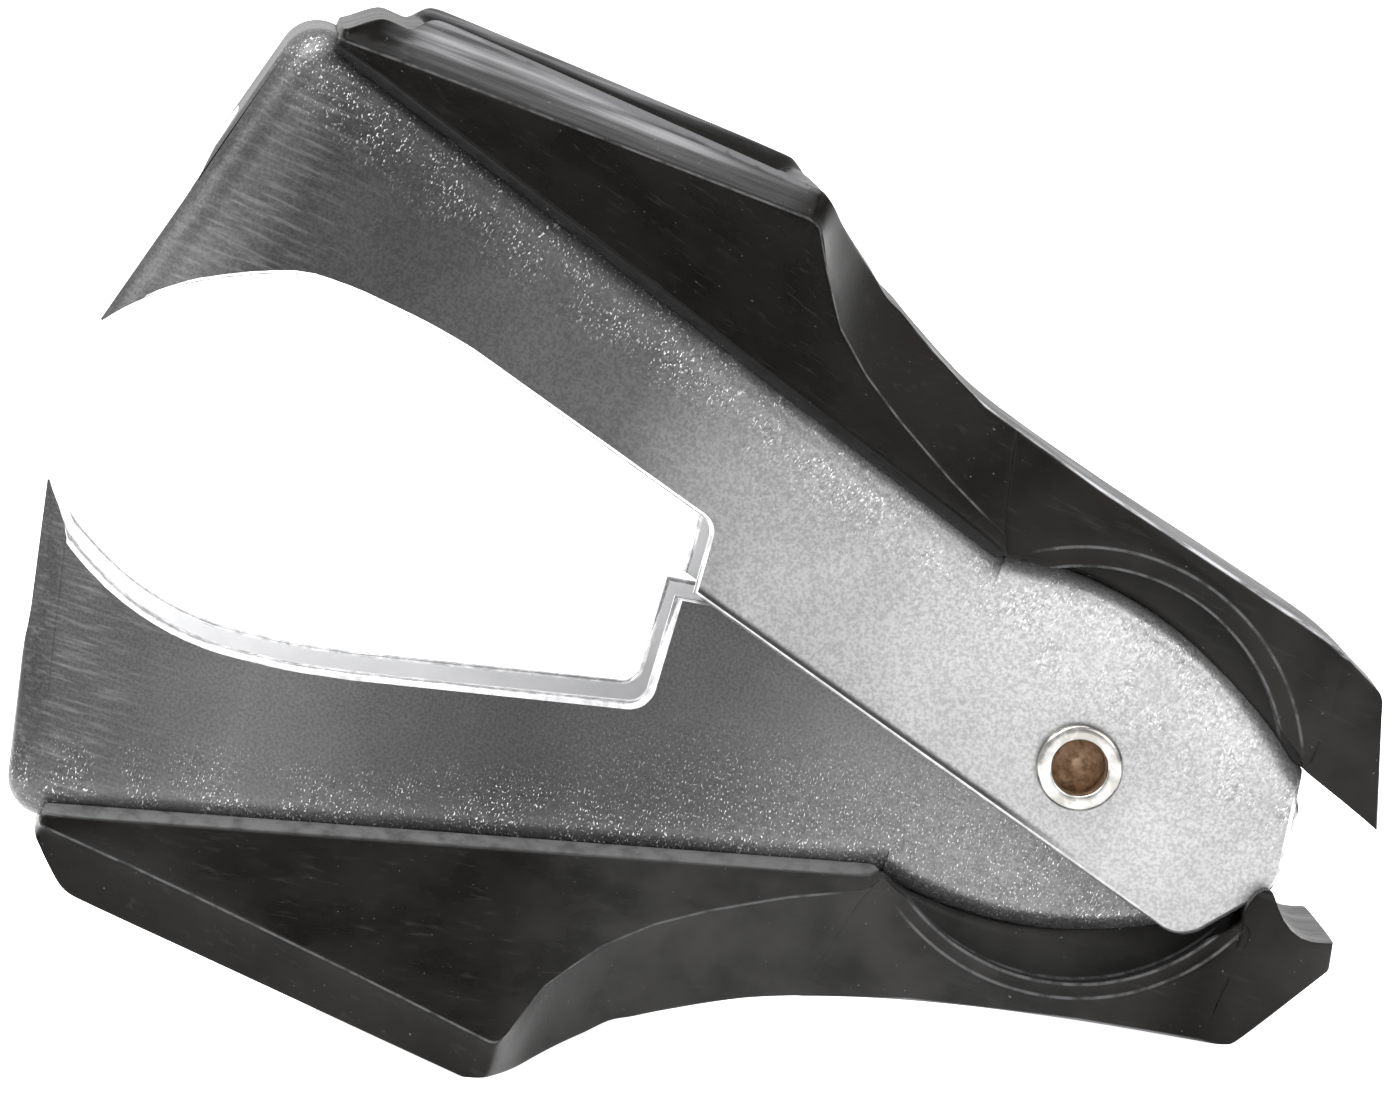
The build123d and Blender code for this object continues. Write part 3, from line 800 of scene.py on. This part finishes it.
def wing_half(x, rows, top_rows, half_width):
    """Half section of the wing at x: named points from the middle of the saddle out and over."""
    ridge_z, inset, rim_z, drop, hollow = along(rows, x)
    ridge_rear = max(row[1] for row in rows)
    ridge_y = soft_max(under_width(x, ridge_z, half_width, ridge_rear), tail_width(x, half_width))
    top_x = x + 1.6 * smooth((14.0 - x) / 8.0)
    rim_z = lerp(rim_z, along(top_rows, top_x)[0], smooth((16.5 - x) / 2))
    inner = [Vector((x, 0, spine_at(x) + GAP))]
    inner += [on_bend(x, half_width, angle, GAP) for angle in (90, 78, 66, 54)]
    border = on_bend(x, half_width, BORDER_ANGLE, GAP)
    lip = on_bend(x, half_width, BORDER_ANGLE - 3, LIP_THICKNESS)
    ridge = Vector((x, ridge_y, ridge_z))
    run = (ridge - lip).normalized()
    off = Vector((0, run.z, -run.y))
    lip_end = lip + run * min(0.55, 0.3 * (ridge - lip).length)
    root = lip_end - off * 0.1
    crease = lerp(lip, ridge, 0.52) - off * hollow
    far_crease = lerp(lip, ridge, 0.8) - off * hollow * 0.45
    rim = Vector((top_x, ridge_y - inset, rim_z))
    rim_in = Vector((top_x, rim.y - 0.32, rim_z - 0.03))
    dish_y = rim_in.y - 0.5 - drop * 0.8
    dish = Vector((top_x, dish_y, rim_z - drop))
    fade = smooth((10.5 - x) / 3.7)  # towards the flange round the tail's hollow
    shares = (lerp(0.3, 0.14, fade), lerp(0.7, 0.17, fade))
    dip = Vector((0, 0.16, 0.12)) * (1 - fade)
    band = [lerp(ridge, rim, t) - dip * 4 * t * (1 - t) for t in shares]
    floor_z = rim_z - drop - 0.12 * min(1.0, drop)
    rib = rib_height(x)
    crown = CROWN * (1 - min(1.0, drop / 0.5)) * smooth((38.4 - x) / 0.8)
    flat = []
    for share, ribbed in ((0.84, 0), (0.8, 1), (0.4, 1), (0.0, 1)):
        flat.append(Vector((top_x, dish_y * share, floor_z + rib * ribbed + crown * (1 - share**2))))
    return inner + [border, lip, lip_end, root, crease, far_crease, ridge, *band, rim, rim_in, dish, *flat]


def polar(radius, angle, y):
    """A point round the pivot at width y."""
    return Vector((radius * cos(angle), y, radius * sin(angle)))


def tail_half(angle, share, top, half_width, hollow_radius, flange_width):
    """Half section of the tail through the hollow round the pivot, in step with wing_half's points."""
    inside = half_width - CUT_INSIDE
    open_share = smooth(min(share, 1 - share) / 0.12)
    radius = lerp(HOLLOW_RADIUS, hollow_radius, open_share)
    step = FLANGE_STEP * open_share
    foot = polar(radius, angle, 0)
    wall = tail_width(foot.x, half_width)
    ear = ear_top(foot.x)
    direction = Vector((cos(angle), 0, sin(angle)))
    crown = ear / max(0.3, sin(angle))
    deep = min(crown + GAP, radius - 0.05)
    roof = direction * deep
    pocket = lerp(radius + 0.02, EAR_SWEEP, smooth(min(share, 1 - share) / 0.06))
    inner = [
        roof,
        roof + Vector((0, half_width - EAR_BEND, 0)),
        direction * (deep - 0.25) + Vector((0, inside, 0)),
        direction * lerp(deep, pocket, 0.5) + Vector((0, inside, 0)),
        direction * pocket + Vector((0, inside, 0)),
    ]
    under_y = max(POCKET_HALF_WIDTH, inside + 0.05)
    border = direction * pocket + Vector((0, under_y, 0))
    lip = foot + Vector((0, under_y, 0))
    steps = [foot + Vector((0, lerp(under_y, wall - step, t), 0)) for t in (0.3, 0.5, 0.7, 0.9)]
    ridge = foot + Vector((0, wall - step, 0))
    flange = polar(radius + flange_width, angle, wall - step)
    shoulder = polar(radius + flange_width + 0.1, angle, wall)
    return inner + [border, lip, *steps, ridge, flange, shoulder, *top_points(top, wall)]


def top_points(top, wall):
    """The tail's top, from its rounded side edge to the middle."""
    rim = Vector((top[0], wall - 0.28, top[1]))
    points = [rim, rim + Vector((0, -0.3, 0.05))]
    for y_share in (0.86, 0.72, 0.66, 0.33, 0.0):
        points.append(Vector((top[0], wall * y_share, top[1] + CROWN * (1 - y_share**2))))
    return points


def end_half(row, half_width):
    """Half section of the solid block at the tail's end."""
    bottom = Vector((row[0], 0, row[1]))
    wall = TAIL_HALF_WIDTH
    inside = half_width - CUT_INSIDE
    sides = [0, half_width - EAR_BEND, inside - 0.3, inside - 0.15, inside]
    inner = [bottom + Vector((0, y, 0)) for y in sides]
    border_y = max(POCKET_HALF_WIDTH - 0.1, inside + 0.03)
    under_shares = (0, 0.15, 0.35, 0.55, 0.75, 0.9)
    under = [bottom + Vector((0, lerp(border_y, wall - 0.05, t), 0)) for t in under_shares]
    ridge = bottom + Vector((0, wall, 0))
    top = Vector((row[2], wall, row[3]))
    climb = [lerp(ridge, top, t) for t in (0.12, 0.2)]
    return inner + under + [ridge, *climb, *top_points((row[2], row[3]), wall)]


def supported(points, corners, distance):
    """Adds a point each side of the named corners, which keeps them crisp when subdivided."""
    out = []
    for i, point in enumerate(points):
        if i not in corners:
            out.append(point)
            continue
        before = points[i - 1] - point
        after = points[i + 1] - point
        out.append(point + before * min(0.4, distance / max(before.length, 1e-6)))
        out.append(point)
        out.append(point + after * min(0.4, distance / max(after.length, 1e-6)))
    return out


def wing_stations():
    """The x of each wing section: close together where the shape turns, closest over the ribs."""
    stations = []
    x = WING_START
    while x > WAIST_END:
        stations.append(x)
        if FIRST_RIB - 0.8 < x < FIRST_RIB + RIB_COUNT * RIB_PITCH:
            x -= RIB_PITCH / 6
        elif 12 < x < 21:
            x -= 0.4
        elif x > 36.5:
            x -= 0.3
        else:
            x -= 0.75
    return stations + [WAIST_END]


def grip_sections(rows, end_rows, top_rows, half_width, hollow):
    """The closed sections of a grip, from its hook to its tail's end."""
    halves = [wing_half(x, rows, top_rows, half_width) for x in wing_stations()]
    first = atan2(6.62, 6.45)
    last = atan2(end_rows[0][1], end_rows[0][0])
    for i in range(TAIL_STEPS + 1):
        share = i / TAIL_STEPS
        angle = lerp(first, last, share)
        top_x = lerp(8.3, end_rows[0][2], share)
        halves.append(tail_half(angle, share, (top_x, along(top_rows, top_x)[0]), half_width, *hollow))
    halves += [end_half(row, half_width) for row in end_rows]
    sections = []
    for half in halves:
        full = supported(half, CRISP_POINTS, EDGE_SUPPORT)
        mirror = [Vector((p.x, -p.y, p.z)) for p in full[1:-1]]
        sections.append(full + mirror[::-1])
    return sections


def grip(name, matrix, sections, material):
    """A moulded grip: one closed skin from the hook over the wing and the tail to its end."""
    bm = bmesh.new()
    rings = [[bm.verts.new(p) for p in section] for section in sections]
    for ring, following in zip(rings, rings[1:]):
        for i in range(len(ring)):
            j = (i + 1) % len(ring)
            bm.faces.new((ring[i], ring[j], following[j], following[i]))
    close_end(bm, rings[0])
    close_end(bm, rings[-1])
    bmesh.ops.transform(bm, matrix=matrix, verts=bm.verts)
    for vert in bm.verts:
        vert.co.z = max(0.0, vert.co.z)  # small flats on the feet
    obj = new_object(name + "_moulding", bm, Matrix(), [material])
    skin = obj.modifiers.new("smooth_skin", "SUBSURF")
    skin.levels = 1
    skin.render_levels = 1
    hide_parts(name)
    return obj


def close_end(bm, ring):
    """Closes a section's end with strips between its two mirrored halves."""
    count = len(ring)
    for i in range(count // 2):
        corners = [ring[i], ring[i + 1], ring[(count - i - 1) % count], ring[(count - i) % count]]
        unique = list(dict.fromkeys(corners))
        if len(unique) > 2:
            bm.faces.new(unique)


# ---------------------------------------------------------------- rivet and spring


def lathe(bm, profile, steps, material_from):
    """Turns a profile of (radius, y) about the y axis; faces past material_from take slot 1."""
    rings = []
    for radius, y in profile:
        if radius < 1e-6:
            rings.append([bm.verts.new((0, y, 0))])
            continue
        turns = [2 * pi * i / steps for i in range(steps)]
        rings.append([bm.verts.new((radius * cos(turn), y, radius * sin(turn))) for turn in turns])
    for k, (ring, following) in enumerate(zip(rings, rings[1:])):
        for i in range(steps):
            j = (i + 1) % steps
            corners = [ring[i % len(ring)], ring[j % len(ring)]]
            corners += [following[j % len(following)], following[i % len(following)]]
            face = bm.faces.new(list(dict.fromkeys(corners)))
            face.material_index = 1 if k >= material_from else 0


def arc(centre, radius, start, end, steps):
    """Points (radius, y) on an arc; angles in degrees, 0 outwards and 90 towards +y."""
    points = []
    for i in range(steps + 1):
        angle = radians(lerp(start, end, i / steps))
        points.append((centre[0] + radius * cos(angle), centre[1] + radius * sin(angle)))
    return points


def rivet_profile():
    """The rivet's (radius, y) profile from the dome's top, and where its recess starts."""
    ball = (DOME_RADIUS**2 + DOME_HEIGHT**2) / (2 * DOME_HEIGHT)
    centre = RIVET_SEAT + DOME_HEIGHT - ball
    edge_y = RIVET_SEAT + 0.12 - centre
    dome_edge = atan2(edge_y, sqrt(ball**2 - edge_y**2))
    profile = [(0.0, RIVET_SEAT + DOME_HEIGHT)]
    for i in range(1, 15):
        angle = lerp(pi / 2, dome_edge, i / 14)
        profile.append((ball * cos(angle), centre + ball * sin(angle)))
    neck = SHANK_RADIUS + 0.02
    profile += [(DOME_RADIUS - 0.06, RIVET_SEAT), (neck, RIVET_SEAT), (SHANK_RADIUS, RIVET_SEAT - 0.02)]
    profile += [(SHANK_RADIUS, 0.0), (SHANK_RADIUS, -RIVET_SEAT + 0.02), (neck, -RIVET_SEAT)]
    profile += [(RIM_RADIUS - 0.1, -RIVET_SEAT)]
    front = -RIVET_SEAT - RIM_HEIGHT
    profile += arc((RIM_RADIUS - RIM_ROLL, front + RIM_ROLL), RIM_ROLL, 20, -90, 7)
    profile += arc((RECESS_RADIUS + RECESS_ROLL, front + RECESS_ROLL), RECESS_ROLL, -90, -180, 5)
    recess_start = len(profile) - 2
    bottom = front + RECESS_DEPTH
    profile += [(RECESS_RADIUS, bottom - 0.62), (RECESS_RADIUS - 0.05, bottom - 0.5)]
    profile += [(0.75, bottom - 0.3), (0.3, bottom - 0.06), (0.0, bottom)]
    return profile, recess_start


def rivet(materials):
    """Semi-tubular rivet: domed head behind, rolled rim and blind recess in front."""
    profile, recess_start = rivet_profile()
    bm = bmesh.new()
    lathe(bm, profile, 72, recess_start)
    obj = new_object("pivot_rivet_plated", bm, ROW, materials)
    mark_sharp(obj, 50)
    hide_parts("pivot_rivet")
    return obj


def mark_sharp(obj, degrees):
    """Keeps creases sharper than an angle out of the smooth shading."""
    bm = bmesh.new()
    bm.from_mesh(obj.data)
    for edge in bm.edges:
        edge.smooth = not (len(edge.link_faces) == 2 and edge.calc_face_angle() > radians(degrees))
    bm.to_mesh(obj.data)
    bm.free()


def spring_path():
    """The wire's centreline: upper leg, close-wound coil, lower leg."""
    leg_z = spine_at(LEG_REACH) - SHEET * sqrt(1 + SPINE_SLOPE**2) - WIRE_RADIUS * 1.16
    reach = sqrt(LEG_REACH**2 + leg_z**2)
    end = atan2(leg_z, LEG_REACH)
    leave = end + atan2(sqrt(reach**2 - COIL_RADIUS**2), COIL_RADIUS)
    first = radians(UPPER_TILT) + leave
    last = radians(LOWER_TILT) - leave + 2 * pi * (COIL_TURNS + 1)
    half = COIL_PITCH * (last - first) / (4 * pi)

    def place(angle, radius, y):
        return Vector((-radius * cos(angle), y, radius * sin(angle)))

    upper_end = place(radians(UPPER_TILT) + end, reach, -half)
    lower_end = place(radians(LOWER_TILT) - end, reach, half)
    turns = 260
    coil = []
    for i in range(turns + 1):
        share = i / turns
        eased = lerp(-half, half, smooth(share) * 0.06 + share * 0.94)
        coil.append(place(lerp(first, last, share), COIL_RADIUS, eased))
    legs = 16
    upper_leg = [lerp(upper_end, coil[0], i / legs) for i in range(legs)]
    lower_leg = [lerp(coil[-1], lower_end, i / legs) for i in range(1, legs + 1)]
    return upper_leg + coil + lower_leg, half


def tube(bm, path, radius, sides, end_round):
    """A round wire along a path, its ends slightly rounded off."""
    before = path[:1] + path[:-1]
    after = path[1:] + path[-1:]
    tangents = [(b - a).normalized() for a, b in zip(before, after)]
    across = Vector((0, 1, 0))
    stations = []
    for point, tangent in zip(path, tangents):
        across = (across - tangent * across.dot(tangent)).normalized()
        stations.append((point, tangent, across.copy(), radius))
    head, tail = stations[0], stations[-1]
    stations.insert(0, (head[0] - head[1] * end_round, head[1], head[2], radius - end_round))
    stations.append((tail[0] + tail[1] * end_round, tail[1], tail[2], radius - end_round))
    rings = []
    for point, tangent, side, size in stations:
        other = tangent.cross(side)
        ring = []
        for k in range(sides):
            angle = 2 * pi * k / sides
            ring.append(bm.verts.new(point + (side * cos(angle) + other * sin(angle)) * size))
        rings.append(ring)
    for ring, following in zip(rings, rings[1:]):
        for k in range(sides):
            j = (k + 1) % sides
            bm.faces.new((ring[k], ring[j], following[j], following[k]))
    bm.faces.new(rings[0])
    bm.faces.new(rings[-1][::-1])


def spring(material):
    """Close-wound torsion spring, built at rest; the real one twists between its two legs when the jaws
    close.
    """
    path, half = spring_path()
    bm = bmesh.new()
    tube(bm, path, WIRE_RADIUS, 18, 0.12)
    obj = new_object("torsion_spring_wire", bm, ROW, [material])
    mark_sharp(obj, 40)
    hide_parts("torsion_spring")
    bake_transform(obj)
    return obj


# ---------------------------------------------------------------- stage


def look_from(azimuth, elevation):
    """Unit vector from the object towards the camera."""
    a, e = radians(azimuth), radians(elevation)
    return Vector((sin(a) * cos(e), -cos(a) * cos(e), sin(e)))


def camera():
    data = bpy.data.cameras.new("camera")
    data.lens = CAMERA_LENS
    data.sensor_width = 36.0
    data.clip_start = 0.01
    data.clip_end = 20.0
    obj = bpy.data.objects.new("camera", data)
    bpy.context.scene.collection.objects.link(obj)
    back = look_from(CAMERA_AZIMUTH, CAMERA_ELEVATION)
    turn = Matrix.Rotation(radians(CAMERA_ROLL), 4, "Z")
    obj.matrix_world = (
        Matrix.Translation(Vector(CAMERA_AIM) * MM + back * CAMERA_DISTANCE * MM)
        @ back.to_track_quat("Z", "Y").to_matrix().to_4x4()
        @ turn
    )
    bpy.context.scene.camera = obj
    return obj


def soft_light(name, azimuth, elevation, distance, size, power, tint=(1, 1, 1)):
    """A square soft box aimed at the object; distance and size in millimetres."""
    data = bpy.data.lights.new(name, "AREA")
    data.shape = "RECTANGLE"
    data.size = size[0] * MM
    data.size_y = size[1] * MM
    data.energy = power
    data.color = tint
    obj = bpy.data.objects.new(name, data)
    bpy.context.scene.collection.objects.link(obj)
    back = look_from(azimuth, elevation)
    obj.matrix_world = (
        Matrix.Translation(Vector(CAMERA_AIM) * MM + back * distance * MM)
        @ back.to_track_quat("Z", "Y").to_matrix().to_4x4()
    )
    return obj


def stage_floor():
    bm = bmesh.new()
    bmesh.ops.create_grid(bm, x_segments=8, y_segments=8, size=4000)
    obj = new_object("floor", bm, Matrix.Scale(MM, 4), [floor_material()])
    return obj


def world():
    scene_world = bpy.data.worlds.new("studio")
    scene_world.use_nodes = True
    background = scene_world.node_tree.nodes["Background"]
    background.inputs["Color"].default_value = (1.0, 1.0, 1.0, 1)
    background.inputs["Strength"].default_value = 1.0
    bpy.context.scene.world = scene_world


# ---------------------------------------------------------------- the object

# Grey along each jaw, from behind the pivot to the fangs: painted light and shade
UPPER_PAINTED_LIGHT = [
    (0.0, 0.3), (0.16, 0.305), (0.3, 0.285), (0.38, 0.235), (0.46, 0.22), (0.56, 0.135), (0.61, 0.07),
    (0.68, 0.06), (0.78, 0.05), (0.88, 0.036), (0.96, 0.12), (1.0, 0.14),
]
LOWER_PAINTED_LIGHT = [
    (0.0, 0.13), (0.27, 0.13), (0.38, 0.09), (0.47, 0.055), (0.6, 0.045), (0.7, 0.06), (0.79, 0.1),
    (0.87, 0.06), (0.93, 0.06), (1.0, 0.08),
]

# Heights along the middle of each tail's top: x, z
UPPER_TOP = [(15.1, 14.35), (13.6, 13.6), (9.9, 12.1), (4.0, 10.9), (-3.0, 9.83), (-7.0, 9.15), (-8.1, 8.8)]
LOWER_TOP = [(15.1, 15.4), (13.6, 14.65), (9.9, 13.07), (4.0, 11.3), (-3.0, 10.03), (-8.2, 9.35)]

# Each grip's painted light and shade from its tail to its hook, how strong the painted highlights on its
# lip, side, rim and top are, and its rings' radii
UPPER_LOOKS = {
    "painted_light_tones": [(0.0, 0.012), (0.2, 0.009), (0.4, 0.004), (0.6, 0.002), (1.0, 0.003)],
    "half_width": UPPER_HALF_WIDTH,
    "wing": UPPER_WING,
    "top": UPPER_TOP,
    "lip": 0.012,
    "side": 0.75,
    "rim_shine": 4.0,
    "top_shine": 1.0,
    "rings": (8.45, 9.25),
}
LOWER_LOOKS = {
    "painted_light_tones": [
        (0.0, 0.018), (0.1, 0.002), (0.2, 0.016), (0.42, 0.022), (0.56, 0.022), (0.63, 0.006), (1.0, 0.005),
    ],
    "half_width": LOWER_HALF_WIDTH,
    "wing": LOWER_WING,
    "top": LOWER_TOP,
    "lip": 0.1,
    "side": 0.0,
    "rim_shine": 0.0,
    "top_shine": 0.3,
    "rings": (8.98, 9.55),
}


def build():
    """Makes the six pieces and puts each but the spring on its body."""
    upper_steel = steel("upper_jaw_zinc", UPPER, UPPER_PAINTED_LIGHT, 0.22, 0.9)
    lower_steel = steel("lower_jaw_zinc", LOWER, LOWER_PAINTED_LIGHT, 0.6, 0.0)
    inner = painted_light_inner_steel("inner_zinc_painted_light")
    upper_sheet = [upper_steel, cut_edge("upper_cut_edge", UPPER), inner]
    upper_jaw = jaw("upper_jaw", UPPER, UPPER_HALF_WIDTH, upper_sheet, False, UPPER_LIFTS)
    lower_sheet = [lower_steel, cut_edge("lower_cut_edge", LOWER), inner]
    lower_jaw = jaw("lower_jaw", LOWER, LOWER_HALF_WIDTH, lower_sheet, True, LOWER_LIFTS)
    sections = grip_sections(UPPER_WING, UPPER_END, UPPER_TOP, UPPER_HALF_WIDTH, UPPER_HOLLOW)
    upper_grip = grip("upper_grip", UPPER, sections, plastic("upper_grip_black", UPPER, UPPER_LOOKS))
    sections = grip_sections(LOWER_WING, LOWER_END, LOWER_TOP, LOWER_HALF_WIDTH, LOWER_HOLLOW)
    lower_grip = grip("lower_grip", LOWER, sections, plastic("lower_grip_black", LOWER, LOWER_LOOKS))
    plated = rivet([nickel("rivet_plate"), recess_brown("rivet_recess")])
    for obj, body, slot in (
        (upper_jaw, "upper", "upper_jaw_steel"),
        (upper_grip, "upper", "upper_grip_plastic"),
        (lower_jaw, "lower", "lower_jaw_steel"),
        (lower_grip, "lower", "lower_grip_plastic"),
        (plated, "lower", "rivet_nickel"),
    ):
        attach(obj, body)
    spring(spring_steel("spring_wire_steel"))


build()
stage_floor()
world()
camera()
soft_light("key", -50, 55, 500, (300, 300), 2.2)
soft_light("fill", 40, 30, 600, (400, 300), 1.0)
soft_light("top", 0, 85, 500, (350, 350), 1.2)
bpy.context.scene.view_settings.view_transform = "Standard"
